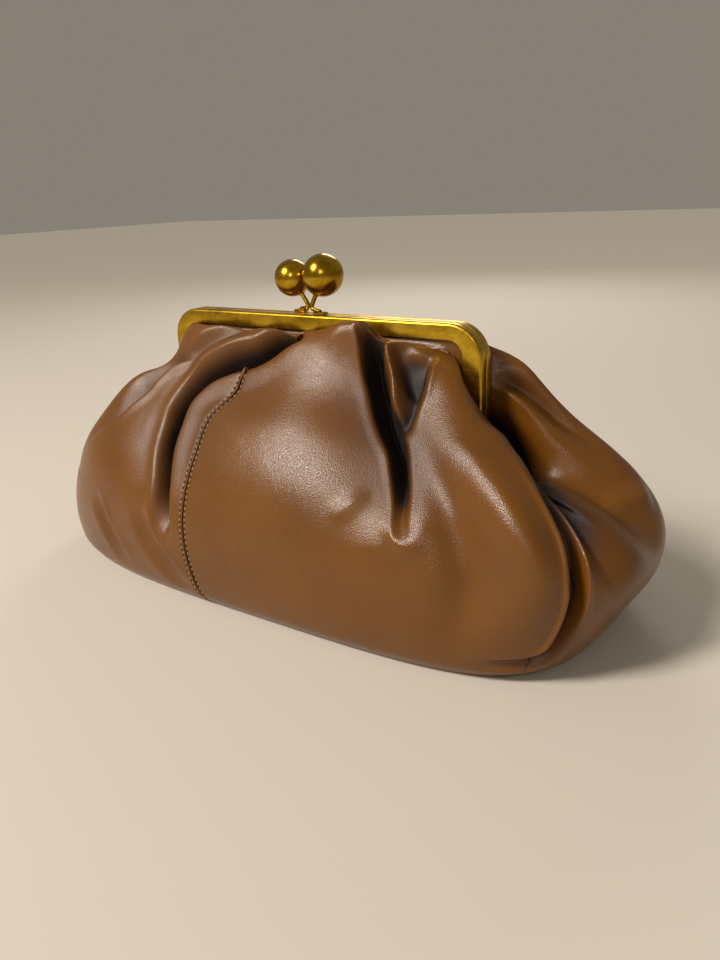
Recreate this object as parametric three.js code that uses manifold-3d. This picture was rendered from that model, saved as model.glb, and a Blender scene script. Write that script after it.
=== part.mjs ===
import * as THREE from 'three';
import loadManifold from 'manifold-3d';
import { mergeVertices } from 'three/addons/utils/BufferGeometryUtils.js';

// A gathered leather clutch on a kiss-lock frame, in millimetres.
// The bag stands on its base at Z = 0, its length runs along X and its front faces -Y.

const wasm = await loadManifold();
wasm.setup();

// Frame: two U-shaped channel halves that meet at Y = 0
const FRAME_LENGTH = 200;
const FRAME_TOP = 150;
const BAR_HEIGHT = 8;
const LEG_WIDTH = 10;
const LEG_FOOT = 96;
const FRAME_CORNER = 18;
const LEAST_CORNER = 4;
const HALF_GAP = 0.4;
const HALF_DEPTH = 6;
const FACE_PLATE = 1.2;
const INNER_PLATE = 1.6;
const RIM = 2;

// Rivets that hinge the halves at the feet of their legs
const RIVET_RADIUS = 1.4;
const RIVET_HEAD_RADIUS = 2.8;
const RIVET_HEAD = 0.8;
const RIVET_FROM_END = 4;
const RIVET_ABOVE_FOOT = 4;
const FIT_GAP = 0.3;

// Ball clasps: a foot on the bar, a bent post and a ball, soldered together
const POST_RADIUS = 1.2;
const CLASP_FOOT = { length: 7, depth: 4.4, height: 1.4 };
const CLASPS = [
  { name: 'clasp_front', side: -1, ball: 11,
    centre: [7.8, -1, 170.4], foot: 6.2, pinch: [-0.4, -2.2, 153.2] },
  { name: 'clasp_back', side: 1, ball: 9.8,
    centre: [-13.6, 1, 168.4], foot: -10.6, pinch: [-4.2, 2.2, 153] },
];

// Leather
const LEATHER = 1.6;
const SEAM_GAP = 0.5;
const LEATHER_IN_SLOT = 4.2;
const BASE_INSET = 1.8;

// Level sections of the leather body, from the base edge up: half sizes and squareness of each end
const SECTIONS = [
  { height: 0, left: 175, right: 155, depth: 71, left_power: 3.3, right_power: 4, step: 0 },
  { height: 8, left: 181, right: 165, depth: 77, left_power: 3.1, right_power: 3.7, step: 9 },
  { height: 28, left: 184, right: 178, depth: 80, left_power: 3, right_power: 3.3, step: 20 },
  { height: 52, left: 182, right: 187, depth: 78, left_power: 2.9, right_power: 3, step: 25 },
  { height: 76, left: 172, right: 173, depth: 69, left_power: 3.1, right_power: 3, step: 29 },
  { height: 98, left: 151, right: 147, depth: 54, left_power: 3.3, right_power: 3.1, step: 29 },
  { height: 118, left: 128, right: 121, depth: 36, left_power: 3.2, right_power: 3.1, step: 28 },
];
const END_SAGS = {
  left: { most: 0.2, from: 0.74 },
  right: { most: 0.3, from: 0.84 },
};

// Lines along the frame that the leather passes before it enters the slot.
// inset is from the frame's outline, forward is from the parting plane, foot is the lowest height.
const MOUTH_LINES = [
  { inset: 7, forward: 16, foot: 80, step: 26 },
  { inset: 11.5, forward: 8.5, foot: 83, step: 9 },
  { inset: 10.5, forward: LEATHER_IN_SLOT, foot: 86, step: 5 },
  { inset: 5, forward: LEATHER_IN_SLOT, foot: 89, step: 7 },
];
const LEG_TO_BAR = 1.45;
const FOOT_BEND = 6;
const LEG_HANG = 0.1;
const END_TIGHTNESS = 0.6;
const END_TIGHT_FROM = 0.45;
const END_TIGHT_OVER = 0.25;

// Places on the leather are given as turn and rise. turn runs round the bag: -1 is the left end,
// 0 the front, 1 the right end and 2 the back. rise runs from 0 at the base edge to 1 in the slot.
const BACK_TURN = 2;
const FULL_TURN = 4;
const SHOULDER_RISE = 0.72;
const MOUTH_EASE = 0.06;
const BASE_EASE = 0.1;

// Swells and dents: push out of the surface and lift are in millimetres
const SWELLS = [
  { turn: 0.92, rise: 0.84, spread: 0.09, reach: 0.12, push: -12, lift: -3 },
  { turn: 2.86, rise: 0.76, spread: 0.14, reach: 0.16, push: -7, lift: 0 },
  { turn: -0.73, rise: 0.81, spread: 0.08, reach: 0.06, push: -5, lift: 0 },
  { turn: -0.85, rise: 0.45, spread: 0.2, reach: 0.25, push: -6, lift: 0 },
  { turn: 1.2, rise: 0.8, spread: 0.12, reach: 0.09, push: 3, lift: 8 },
  { turn: 0.08, rise: 0.6, spread: 0.22, reach: 0.28, push: 4, lift: 0 },
  { turn: 2.08, rise: 0.6, spread: 0.22, reach: 0.28, push: 4, lift: 0 },
  { turn: 0.62, rise: 0.5, spread: 0.14, reach: 0.26, push: 4, lift: 0 },
  { turn: 2.62, rise: 0.5, spread: 0.14, reach: 0.26, push: 4, lift: 0 },
  { turn: 0.22, rise: 0.885, spread: 0.1, reach: 0.05, push: 4, lift: 4 },
  { turn: 0.3, rise: 0.885, spread: 0.05, reach: 0.05, push: 2, lift: 3 },
  { turn: 0.62, rise: 0.89, spread: 0.12, reach: 0.05, push: -3, lift: -2 },
  { turn: 2.62, rise: 0.89, spread: 0.12, reach: 0.05, push: -3, lift: -2 },
  { turn: -0.3, rise: 0.84, spread: 0.2, reach: 0.08, push: 4, lift: 0 },
  { turn: 1.7, rise: 0.84, spread: 0.2, reach: 0.08, push: 4, lift: 0 },
];

// Folds along a path: left and right are the widths of its two slopes, seen from outside down the path,
// bed is the wide dip that it lies in, and a negative depth makes a ridge. All are in millimetres.
// fade_in and fade_out are the shares of the path over which a fold deepens and dies out.
// A fold repeats on the back unless it is marked once.
const FOLDS = [
  { turn: [0.03, -0.04, -0.125, -0.235, -0.335, -0.36, -0.32, -0.29, -0.25, -0.238, -0.235],
    rise: [0.895, 0.845, 0.805, 0.782, 0.745, 0.68, 0.6, 0.52, 0.41, 0.3, 0.2],
    left: 11, right: 7, depth: 20, lip: 2, bed: 5, bed_width: 30, fade_in: 0.26, fade_out: 0.3 },
  { turn: [0.29, 0.345, 0.405, 0.432, 0.426, 0.415, 0.41],
    rise: [0.895, 0.82, 0.76, 0.65, 0.55, 0.45, 0.355],
    left: 7, right: 12, depth: 17, lip: 1.5, bed: 5, bed_width: 26, fade_in: 0.12, fade_out: 0.27 },
  { turn: [0.395, 0.42, 0.478, 0.492], rise: [0.875, 0.847, 0.783, 0.69],
    left: 6, right: 6, depth: -6, lip: 0, fade_in: 0.15, fade_out: 0.25, once: true },
  { turn: [0.55, 0.565, 0.55, 0.505, 0.468], rise: [0.865, 0.79, 0.75, 0.7, 0.66],
    left: 14, right: 6, depth: 6, lip: 1, fade_in: 0.12, fade_out: 0.25, once: true },
  { turn: [0.79, 0.775, 0.762, 0.755, 0.744, 0.737, 0.736, 0.736],
    rise: [0.63, 0.547, 0.473, 0.41, 0.35, 0.297, 0.227, 0.1],
    left: 6, right: 6, depth: 5, lip: 1.5, fade_in: 0.3, fade_out: 0.3, once: true },
  { turn: [1.07, 1.035, 0.97, 0.895, 0.845, 0.815, 0.8, 0.805, 0.85],
    rise: [0.93, 0.83, 0.755, 0.68, 0.6, 0.5, 0.4, 0.3, 0.2],
    left: 12, right: 24, depth: 19, lip: 0, fade_in: 0.1, fade_out: 0.7, once: true },
  { turn: [-1, -0.99, -0.98, -0.97], rise: [0.92, 0.75, 0.55, 0.35],
    left: 20, right: 20, depth: 9, lip: 1, fade_in: 0.15, fade_out: 0.4, once: true },
  { turn: [1.17, 1.12, 1.1, 1.093, 1.095, 1.1], rise: [0.86, 0.81, 0.753, 0.65, 0.537, 0.45],
    left: 14, right: 8, depth: -4, lip: 0, fade_in: 0.1, fade_out: 0.3, once: true },
  { turn: [-0.44, -0.545, -0.62, -0.645, -0.622, -0.628, -0.67, -0.7],
    rise: [0.83, 0.807, 0.775, 0.725, 0.67, 0.59, 0.51, 0.43],
    left: 14, right: 8, depth: 6, lip: 1, fade_in: 0.3, fade_out: 0.5 },
];
const FOLD_BOTTOM = 1;
const WALL_SOFTNESS = 0.45;
const LIP_PLACE = 1.15;
const LIP_SPREAD = 0.45;
const BED_EASE = 0.3;

// Seams, as the turn at seven even rises from the base edge to the slot
const FRONT_SEAM = [-0.13, -0.165, -0.178, -0.188, -0.185, -0.07, 0];
const CORNER_SEAM = [0.68, 0.736, 0.74, 0.766, 0.808, 0.86, 0.93];

// Facets
const PANEL_ROWS = 14;
const FRONT_COLUMNS = 32;
const END_COLUMNS = 29;
const BACK_COLUMNS = 25;
const ROW_SAMPLES = 400;
const ARC_STEPS = 200;
const SECTION_STEPS = 600;
const CORNER_STEPS = 12;
const BASE_CORNERS = 10;
const PATH_STEPS = 30;
const SLOPE_STEP = 0.004;
const FOLD_SPREAD = 0.07;
const FOLD_CROWDING = 6;
const BEND_FACETS = 5;
const ROUND_FACETS = 12;
const POST_FACETS = 4;
const POST_STEPS = 10;
const BALL_FACETS = 20;
const MERGE_DISTANCE = 1e-4;
const LEAST_DISTANCE = 1e-6;

const LEATHER_LOOK = { color: 0x6b4426, roughness: 0.45, metalness: 0 };
const GOLD_LOOK = { color: 0xc79a35, roughness: 0.22, metalness: 1 };

const clutch = new THREE.Group();
clutch.name = 'clutch_bag';

function addPart(name, geometry, look) {
  const mesh = new THREE.Mesh(geometry, new THREE.MeshStandardMaterial(look));
  mesh.name = name;
  clutch.add(mesh);
}

// Solids for joining and cutting

function solidOf(geometry) {
  const bare = geometry.clone();
  bare.deleteAttribute('normal');
  bare.deleteAttribute('uv');
  const merged = mergeVertices(bare, MERGE_DISTANCE);
  return new wasm.Manifold(new wasm.Mesh({
    numProp: 3,
    vertProperties: new Float32Array(merged.attributes.position.array),
    triVerts: new Uint32Array(merged.index.array),
  }));
}

function geometryOf(solid) {
  const mesh = solid.getMesh();
  const geometry = new THREE.BufferGeometry();
  geometry.setAttribute('position', new THREE.BufferAttribute(new Float32Array(mesh.vertProperties), 3));
  geometry.setIndex(new THREE.BufferAttribute(new Uint32Array(mesh.triVerts), 1));
  geometry.computeVertexNormals();
  return geometry;
}

// Frame halves

// Outline of the frame's U, drawn along its outer edge and back along a line set in from it
function archShape(insetBar, insetLeg, foot) {
  const half = FRAME_LENGTH / 2;
  const inner = half - insetLeg;
  const innerTop = FRAME_TOP - insetBar;
  const innerCorner = Math.max(FRAME_CORNER - insetLeg, LEAST_CORNER);
  const shape = new THREE.Shape();
  shape.moveTo(-half, foot);
  shape.lineTo(-inner, foot);
  shape.lineTo(-inner, innerTop - innerCorner);
  shape.absarc(-inner + innerCorner, innerTop - innerCorner, innerCorner, Math.PI, Math.PI / 2, true);
  shape.lineTo(inner - innerCorner, innerTop);
  shape.absarc(inner - innerCorner, innerTop - innerCorner, innerCorner, Math.PI / 2, 0, true);
  shape.lineTo(inner, foot);
  shape.lineTo(half, foot);
  shape.lineTo(half, FRAME_TOP - FRAME_CORNER);
  shape.absarc(half - FRAME_CORNER, FRAME_TOP - FRAME_CORNER, FRAME_CORNER, 0, Math.PI / 2, false);
  shape.lineTo(-half + FRAME_CORNER, FRAME_TOP);
  shape.absarc(-half + FRAME_CORNER, FRAME_TOP - FRAME_CORNER, FRAME_CORNER, Math.PI / 2, Math.PI, false);
  return shape;
}

// A flat piece in the frame's plane between two distances in front of the parting plane
function standUp(shape, near, far, side) {
  const geometry = new THREE.ExtrudeGeometry(shape, {
    depth: far - near, bevelEnabled: false, curveSegments: BEND_FACETS,
  });
  geometry.rotateX(Math.PI / 2);
  geometry.translate(0, side < 0 ? -near : far, 0);
  return solidOf(geometry);
}

function rivetCentre(sign) {
  return [sign * (FRAME_LENGTH / 2 - RIVET_FROM_END), LEG_FOOT + RIVET_ABOVE_FOOT];
}

function rivetHole(sign) {
  const [x, z] = rivetCentre(sign);
  const radius = RIVET_RADIUS + FIT_GAP;
  const hole = new THREE.CylinderGeometry(radius, radius, 4 * HALF_DEPTH, ROUND_FACETS);
  hole.translate(x, 0, z);
  return solidOf(hole);
}

function frameHalf(side) {
  const channel = archShape(BAR_HEIGHT, LEG_WIDTH, LEG_FOOT);
  const rim = archShape(RIM, RIM, LEG_FOOT);
  const face = standUp(channel, HALF_DEPTH - FACE_PLATE, HALF_DEPTH, side);
  const back = standUp(channel, HALF_GAP, HALF_GAP + INNER_PLATE, side);
  const half = face.add(back).add(standUp(rim, HALF_GAP, HALF_DEPTH, side));
  return geometryOf(half.subtract(rivetHole(-1)).subtract(rivetHole(1)));
}

addPart('frame_front', frameHalf(-1), GOLD_LOOK);
addPart('frame_back', frameHalf(1), GOLD_LOOK);

// Rivets

function rivet(sign) {
  const [x, z] = rivetCentre(sign);
  const shoulder = HALF_DEPTH + FIT_GAP;
  const profile = [
    new THREE.Vector2(0, -shoulder - RIVET_HEAD),
    new THREE.Vector2(RIVET_HEAD_RADIUS, -shoulder - RIVET_HEAD / 2),
    new THREE.Vector2(RIVET_HEAD_RADIUS, -shoulder),
    new THREE.Vector2(RIVET_RADIUS, -shoulder),
    new THREE.Vector2(RIVET_RADIUS, shoulder),
    new THREE.Vector2(RIVET_HEAD_RADIUS, shoulder),
    new THREE.Vector2(RIVET_HEAD_RADIUS, shoulder + RIVET_HEAD / 2),
    new THREE.Vector2(0, shoulder + RIVET_HEAD),
  ];
  const geometry = new THREE.LatheGeometry(profile, ROUND_FACETS);
  geometry.translate(x, 0, z);
  return geometry;
}

addPart('hinge_pin_left', rivet(-1), GOLD_LOOK);
addPart('hinge_pin_right', rivet(1), GOLD_LOOK);

// Ball clasps

function claspOf({ side, ball, centre, foot, pinch }) {
  const footLevel = FRAME_TOP + FIT_GAP;
  const footPlace = new THREE.Vector3(foot, side * HALF_DEPTH / 2, footLevel + CLASP_FOOT.height / 2);
  const plate = new THREE.BoxGeometry(CLASP_FOOT.length, CLASP_FOOT.depth, CLASP_FOOT.height);
  plate.translate(footPlace.x, footPlace.y, footPlace.z);
  const start = new THREE.Vector3(foot, footPlace.y, footLevel + POST_RADIUS + FIT_GAP);
  const path = new THREE.CatmullRomCurve3([start, new THREE.Vector3(...pinch), new THREE.Vector3(...centre)]);
  const section = new THREE.Shape();
  section.absarc(0, 0, POST_RADIUS, 0, 2 * Math.PI, false);
  const post = new THREE.ExtrudeGeometry(section, {
    steps: POST_STEPS, curveSegments: POST_FACETS, extrudePath: path,
  });
  const knob = new THREE.SphereGeometry(ball, BALL_FACETS, ROUND_FACETS);
  knob.rotateX(Math.PI / 2);
  knob.translate(...centre);
  return geometryOf(solidOf(plate).add(solidOf(post)).add(solidOf(knob)));
}

for (const clasp of CLASPS) {
  addPart(clasp.name, claspOf(clasp), GOLD_LOOK);
}

// Leather surface

function smooth(value) {
  const part = Math.min(Math.max(value, 0), 1);
  return part * part * (3 - 2 * part);
}

function lookUp(table, share) {
  const place = Math.min(Math.max(share, 0), 1) * (table.length - 1);
  const low = Math.min(Math.floor(place), table.length - 2);
  return table[low].clone().lerp(table[low + 1], place - low);
}

// Points at even distances along a polyline
function evenPoints(points) {
  const far = [0];
  for (let i = 1; i < points.length; i += 1) {
    far.push(far[i - 1] + points[i].distanceTo(points[i - 1]));
  }
  const even = [];
  let at = 0;
  for (let i = 0; i <= ARC_STEPS; i += 1) {
    const want = far[far.length - 1] * i / ARC_STEPS;
    while (at < points.length - 2 && far[at + 1] < want) {
      at += 1;
    }
    const share = (want - far[at]) / Math.max(far[at + 1] - far[at], LEAST_DISTANCE);
    even.push(points[at].clone().lerp(points[at + 1], share));
  }
  return even;
}

// A quarter of a level section, from the middle of the front to the end
function sectionQuarter(length, depth, power) {
  const points = [];
  for (let i = 0; i <= SECTION_STEPS; i += 1) {
    const angle = Math.PI / 2 * i / SECTION_STEPS;
    points.push(new THREE.Vector2(
      length * Math.sin(angle) ** (2 / power),
      depth * Math.max(Math.cos(angle), 0) ** (2 / power),
    ));
  }
  return evenPoints(points);
}

// Half of a line along the frame, from the middle of the bar down to its foot
function mouthQuarter({ inset, foot }) {
  const side = FRAME_LENGTH / 2 - inset * LEG_TO_BAR;
  const top = FRAME_TOP - inset;
  const corner = Math.max(FRAME_CORNER - inset, LEAST_CORNER);
  const points = [new THREE.Vector2(0, top)];
  for (let i = 0; i <= CORNER_STEPS; i += 1) {
    const angle = Math.PI / 2 * i / CORNER_STEPS;
    const across = corner * Math.sin(angle);
    const up = corner * Math.cos(angle);
    points.push(new THREE.Vector2(side - corner + across, top - corner + up));
  }
  points.push(new THREE.Vector2(side, foot));
  return evenPoints(points);
}

const leftTables = SECTIONS.map((level) => sectionQuarter(level.left, level.depth, level.left_power));
const rightTables = SECTIONS.map((level) => sectionQuarter(level.right, level.depth, level.right_power));
const mouthTables = MOUTH_LINES.map(mouthQuarter);
const steps = [...SECTIONS, ...MOUTH_LINES].map((line) => line.step);
const bodyLength = steps.reduce((sum, step) => sum + step, 0);
const knots = steps.map((_, i) => steps.slice(0, i + 1).reduce((sum, step) => sum + step, 0) / bodyLength);
const mouthRise = knots[knots.length - 2];
const puffRise = knots[SECTIONS.length];

// The points that one line up the leather passes, from the base edge to the slot
function risingLine(turn) {
  const wrapped = turnBetween(turn, 1) + 1;
  const face = wrapped < 1 ? -1 : 1;
  const along = wrapped < 1 ? wrapped : BACK_TURN - wrapped;
  const share = Math.abs(along);
  const hand = Math.sign(along);
  const endSag = hand < 0 ? END_SAGS.left : END_SAGS.right;
  const sag = endSag.most * smooth((share - endSag.from) / (1 - endSag.from));
  const tables = hand < 0 ? leftTables : rightTables;
  const points = SECTIONS.map((section, i) => {
    const place = lookUp(tables[i], share);
    const height = section.height * (1 - sag * section.height / SECTIONS[SECTIONS.length - 1].height);
    return new THREE.Vector3(hand * place.x, face * place.y, height);
  });
  const hung = share - LEG_HANG * Math.sin(Math.PI * share ** 3);
  const slack = 1 - END_TIGHTNESS * smooth((share - END_TIGHT_FROM) / END_TIGHT_OVER);
  MOUTH_LINES.forEach((line, i) => {
    const place = lookUp(mouthTables[i], hung);
    const drawn = LEATHER_IN_SLOT + (line.forward - LEATHER_IN_SLOT) * slack;
    const forward = drawn * smooth((place.y - line.foot) / FOOT_BEND);
    points.push(new THREE.Vector3(hand * place.x, face * forward, place.y));
  });
  return points;
}

// The smooth body: each line up the leather is a cubic curve through its points
function smoothBody(turn, rise) {
  const points = risingLine(turn);
  const last = knots.length - 1;
  let low = 0;
  while (low < last - 1 && knots[low + 1] <= rise) {
    low += 1;
  }
  const slope = (i) => {
    const before = Math.max(i - 1, 0);
    const after = Math.min(i + 1, last);
    return points[after].clone().sub(points[before]).divideScalar(knots[after] - knots[before]);
  };
  const span = knots[low + 1] - knots[low];
  const f = (rise - knots[low]) / span;
  const place = points[low].clone().multiplyScalar(2 * f ** 3 - 3 * f ** 2 + 1);
  place.addScaledVector(slope(low), span * (f ** 3 - 2 * f ** 2 + f));
  place.addScaledVector(points[low + 1], 3 * f ** 2 - 2 * f ** 3);
  return place.addScaledVector(slope(low + 1), span * (f ** 3 - f ** 2));
}

function normalOf(surface, turn, rise) {
  const low = Math.max(rise - SLOPE_STEP, 0);
  const high = Math.min(rise + SLOPE_STEP, 1);
  const across = surface(turn + SLOPE_STEP, rise).sub(surface(turn - SLOPE_STEP, rise));
  const up = surface(turn, high).sub(surface(turn, low));
  return across.cross(up).normalize();
}

// The way out of the body: close to the frame it stays as it is on the shoulder below
function outward(turn, rise) {
  return normalOf(smoothBody, turn, Math.min(rise, SHOULDER_RISE));
}

function turnBetween(turn, centre) {
  return ((turn - centre + BACK_TURN) % FULL_TURN + FULL_TURN) % FULL_TURN - BACK_TURN;
}

// The body with its swells and dents, before it is folded
function swollenBody(turn, rise) {
  let push = 0;
  let lift = 0;
  for (const swell of SWELLS) {
    const sideways = turnBetween(turn, swell.turn) / swell.spread;
    const upward = (rise - swell.rise) / swell.reach;
    const near = Math.exp(-(sideways ** 2) - upward ** 2);
    push += swell.push * near;
    lift += swell.lift * near;
  }
  const ease = smooth(rise / BASE_EASE) * smooth((mouthRise - rise) / MOUTH_EASE);
  const place = smoothBody(turn, rise).addScaledVector(outward(turn, rise), push * ease);
  place.z += lift * ease;
  return place;
}

function foldShifts(fold) {
  return fold.once ? [0] : [0, BACK_TURN];
}

// Each fold's path on the body, with the way to its left
const foldPaths = FOLDS.flatMap((fold) => foldShifts(fold).map((shift) => {
  const marks = fold.turn.map((turn, i) => new THREE.Vector2(turn + shift, fold.rise[i]));
  const places = new THREE.SplineCurve(marks).getPoints(PATH_STEPS);
  const points = places.map((place) => swollenBody(place.x, place.y));
  const leftward = places.slice(0, -1).map((place, i) => (
    points[i + 1].clone().sub(points[i]).cross(outward(place.x, place.y)).normalize()
  ));
  return { ...fold, points, leftward };
}));

// How far the fold pushes a point of the body out or in
function foldPush(fold, place) {
  let nearest = Infinity;
  let share = 0;
  let side = 0;
  const line = new THREE.Line3();
  const foot = new THREE.Vector3();
  for (let i = 0; i < PATH_STEPS; i += 1) {
    line.set(fold.points[i], fold.points[i + 1]);
    const part = line.closestPointToPointParameter(place, true);
    const distance = line.at(part, foot).distanceTo(place);
    if (distance < nearest) {
      nearest = distance;
      share = (i + part) / PATH_STEPS;
      side = foot.sub(place).dot(fold.leftward[i]) / -Math.max(distance, LEAST_DISTANCE);
    }
  }
  const width = (fold.left + fold.right) / 2 + (fold.left - fold.right) / 2 * side;
  const off = (Math.hypot(nearest, FOLD_BOTTOM) - FOLD_BOTTOM) / width;
  const strength = smooth(share / fold.fade_in) * smooth((1 - share) / fold.fade_out);
  const drop = (1 - off + Math.hypot(1 - off, WALL_SOFTNESS)) / (1 + Math.hypot(1, WALL_SOFTNESS));
  const lip = fold.lip * Math.exp(-(((off - LIP_PLACE) / LIP_SPREAD) ** 2));
  const push = strength * (lip - fold.depth * drop);
  if (!fold.bed) {
    return push;
  }
  const bedStrength = smooth(share / BED_EASE) * smooth((1 - share) / BED_EASE);
  return push - fold.bed * bedStrength * Math.exp(-((nearest / fold.bed_width) ** 2));
}

function leather(turn, rise) {
  const place = swollenBody(turn, rise);
  let push = 0;
  for (const fold of foldPaths) {
    push += foldPush(fold, place);
  }
  push *= smooth((mouthRise - rise) / MOUTH_EASE);
  return place.addScaledVector(outward(turn, rise), push);
}

// Leather panels

const seamCurves = new Map([FRONT_SEAM, CORNER_SEAM].map((seam) => (
  [seam, new THREE.SplineCurve(seam.map((turn, i) => new THREE.Vector2(turn, i / (seam.length - 1))))]
)));

function seamTurn(seam, rise) {
  return seamCurves.get(seam).getPoint(rise).x;
}

// The way along the leather, square to a seam, towards higher turns
function besideSeam(seam, shift, rise) {
  const low = Math.max(rise - SLOPE_STEP, 0);
  const high = Math.min(rise + SLOPE_STEP, 1);
  const along = leather(seamTurn(seam, high) + shift, high).sub(leather(seamTurn(seam, low) + shift, low));
  return along.cross(normalOf(leather, seamTurn(seam, rise) + shift, rise)).normalize();
}

const panelRises = [];
for (let i = 0; i <= PANEL_ROWS; i += 1) {
  panelRises.push(puffRise * i / PANEL_ROWS);
}
panelRises.push(...knots.slice(SECTIONS.length + 1));

// The turn of a fold's path at a rise
function foldTurn(fold, rise) {
  const places = fold.rise.map((value, i) => ({ rise: value, turn: fold.turn[i] })).reverse();
  let low = 0;
  while (low < places.length - 2 && places[low + 1].rise < rise) {
    low += 1;
  }
  const share = (rise - places[low].rise) / (places[low + 1].rise - places[low].rise);
  return places[low].turn + (places[low + 1].turn - places[low].turn) * Math.min(Math.max(share, 0), 1);
}

// Turns of a row's points between two seams, closer together at the folds
function rowTurns(left, right, rise, columns) {
  const total = [0];
  for (let i = 0; i < ROW_SAMPLES; i += 1) {
    const turn = left + (right - left) * (i + 0.5) / ROW_SAMPLES;
    let density = 1;
    for (const fold of FOLDS) {
      for (const shift of foldShifts(fold)) {
        const off = turnBetween(turn, foldTurn(fold, rise) + shift) / FOLD_SPREAD;
        density += Math.abs(fold.depth) / FOLD_CROWDING * Math.exp(-(off ** 2));
      }
    }
    total.push(total[i] + density);
  }
  const turns = [];
  let at = 0;
  for (let i = 0; i <= columns; i += 1) {
    const want = total[ROW_SAMPLES] * i / columns;
    while (at < ROW_SAMPLES - 1 && total[at + 1] < want) {
      at += 1;
    }
    const share = (want - total[at]) / (total[at + 1] - total[at]);
    turns.push(left + (right - left) * (at + share) / ROW_SAMPLES);
  }
  return turns;
}

// A closed wall of leather between two seams
function panel(leftSeam, leftShift, rightSeam, rightShift, columns) {
  const width = columns + 1;
  const count = width * panelRises.length;
  const positions = new Float32Array(count * 2 * 3);
  panelRises.forEach((rise, row) => {
    const left = seamTurn(leftSeam, rise) + leftShift;
    const right = seamTurn(rightSeam, rise) + rightShift;
    const turns = rowTurns(left, right, rise, columns);
    for (let i = 0; i <= columns; i += 1) {
      const turn = turns[i];
      const outer = leather(turn, rise);
      if (i === 0) {
        outer.addScaledVector(besideSeam(leftSeam, leftShift, rise), SEAM_GAP / 2);
      } else if (i === columns) {
        outer.addScaledVector(besideSeam(rightSeam, rightShift, rise), -SEAM_GAP / 2);
      }
      const inner = outer.clone().addScaledVector(normalOf(leather, turn, rise), -LEATHER);
      outer.toArray(positions, (row * width + i) * 3);
      inner.toArray(positions, (count + row * width + i) * 3);
    }
  });
  const index = [];
  const quad = (a, b, c, d) => index.push(a, b, c, a, c, d);
  const rows = panelRises.length - 1;
  for (let row = 0; row < rows; row += 1) {
    for (let i = 0; i < columns; i += 1) {
      const a = row * width + i;
      quad(a, a + 1, a + 1 + width, a + width);
      quad(count + a, count + a + width, count + a + 1 + width, count + a + 1);
    }
    const first = row * width;
    const last = first + columns;
    quad(first, first + width, count + first + width, count + first);
    quad(last, count + last, count + last + width, last + width);
  }
  for (let i = 0; i < columns; i += 1) {
    const top = rows * width + i;
    quad(i, count + i, count + i + 1, i + 1);
    quad(top, top + 1, count + top + 1, count + top);
  }
  const geometry = new THREE.BufferGeometry();
  geometry.setAttribute('position', new THREE.BufferAttribute(positions, 3));
  geometry.setIndex(index);
  geometry.computeVertexNormals();
  return geometry;
}

addPart('front_panel', panel(FRONT_SEAM, 0, CORNER_SEAM, 0, FRONT_COLUMNS), LEATHER_LOOK);
addPart('right_end_panel', panel(CORNER_SEAM, 0, FRONT_SEAM, BACK_TURN, END_COLUMNS), LEATHER_LOOK);
addPart('back_panel', panel(FRONT_SEAM, BACK_TURN, CORNER_SEAM, BACK_TURN, BACK_COLUMNS), LEATHER_LOOK);
addPart('left_end_panel', panel(CORNER_SEAM, BACK_TURN, FRONT_SEAM, FULL_TURN, END_COLUMNS), LEATHER_LOOK);

// Base

// A few corners of a quarter of the base's outline
function baseQuarter(length, power) {
  const quarter = sectionQuarter(length - BASE_INSET, SECTIONS[0].depth - BASE_INSET, power);
  return quarter.filter((_, i) => i % (ARC_STEPS / BASE_CORNERS) === 0);
}

function basePanel() {
  const right = baseQuarter(SECTIONS[0].right, SECTIONS[0].right_power);
  const left = baseQuarter(SECTIONS[0].left, SECTIONS[0].left_power);
  const outline = [
    ...right.map((place) => new THREE.Vector2(place.x, -place.y)),
    ...right.slice(0, -1).reverse(),
    ...left.slice(1).map((place) => new THREE.Vector2(-place.x, place.y)),
    ...left.slice(1, -1).reverse().map((place) => new THREE.Vector2(-place.x, -place.y)),
  ];
  return new THREE.ExtrudeGeometry(new THREE.Shape(outline), { depth: LEATHER, bevelEnabled: false });
}

addPart('base_panel', basePanel(), LEATHER_LOOK);

export default clutch;
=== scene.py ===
import math

import bmesh
import bpy
import numpy as np
from mathutils import Matrix, Vector


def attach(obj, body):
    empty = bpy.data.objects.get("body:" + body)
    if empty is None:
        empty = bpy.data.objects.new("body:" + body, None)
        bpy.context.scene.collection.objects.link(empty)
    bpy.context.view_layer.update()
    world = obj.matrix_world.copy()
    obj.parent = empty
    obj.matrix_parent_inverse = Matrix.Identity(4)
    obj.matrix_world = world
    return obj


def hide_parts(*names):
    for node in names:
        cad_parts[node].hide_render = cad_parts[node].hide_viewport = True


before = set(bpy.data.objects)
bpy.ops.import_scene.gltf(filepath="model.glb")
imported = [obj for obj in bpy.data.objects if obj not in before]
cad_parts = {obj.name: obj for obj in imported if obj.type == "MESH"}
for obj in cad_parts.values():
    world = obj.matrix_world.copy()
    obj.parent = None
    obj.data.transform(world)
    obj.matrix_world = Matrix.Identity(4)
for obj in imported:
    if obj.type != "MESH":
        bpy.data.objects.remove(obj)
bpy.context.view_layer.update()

# Leather body
# One soft skin of thin brown leather, gathered into the frame's slot at the top and slumped on its base.
# It is cut as four panels: the front and the back, and one that wraps each end, sewn edge to edge.

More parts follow.
